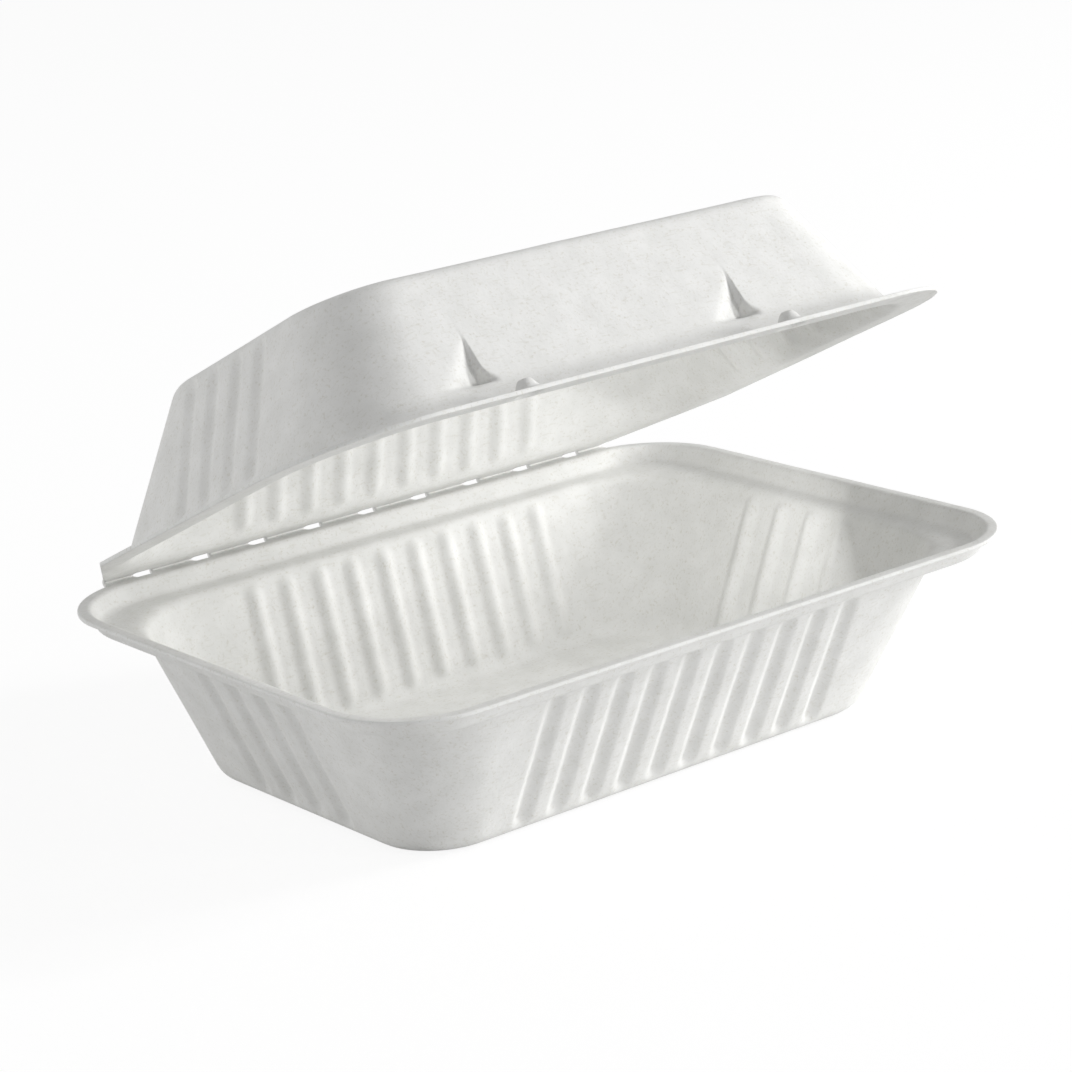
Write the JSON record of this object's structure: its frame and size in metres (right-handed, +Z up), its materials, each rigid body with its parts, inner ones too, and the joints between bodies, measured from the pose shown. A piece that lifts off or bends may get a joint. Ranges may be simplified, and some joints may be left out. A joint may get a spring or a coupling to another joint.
{
  "type": "molded fiber clamshell container",
  "caption": "Hinged take-away food box pressed from plant fiber: fluted tray with a stepped rim, fluted lid with latch pockets, joined along a perforated fold at the back.",
  "frame": {"origin": "on the table under the middle of the box's outline, lid as it stands at rest", "axes": "+X along the long side to the right, +Y to the fold at the back, +Z up"},
  "size_m": [0.181, 0.1327, 0.1179],
  "materials": {
    "fiber": "matte bleached plant fiber, faintly flecked"
  },
  "bodies": {
    "tray": {"base_tray": "fiber"},
    "cover": {"lid": "fiber"}
  },
  "joints": [
    {"name": "lid_fold", "type": "hinge", "parent": "tray", "child": "cover", "pos_m": [0, 0.06615, 0.04165], "axis": [-1, 0, 0], "range_deg": [-25, 155]}
  ]
}
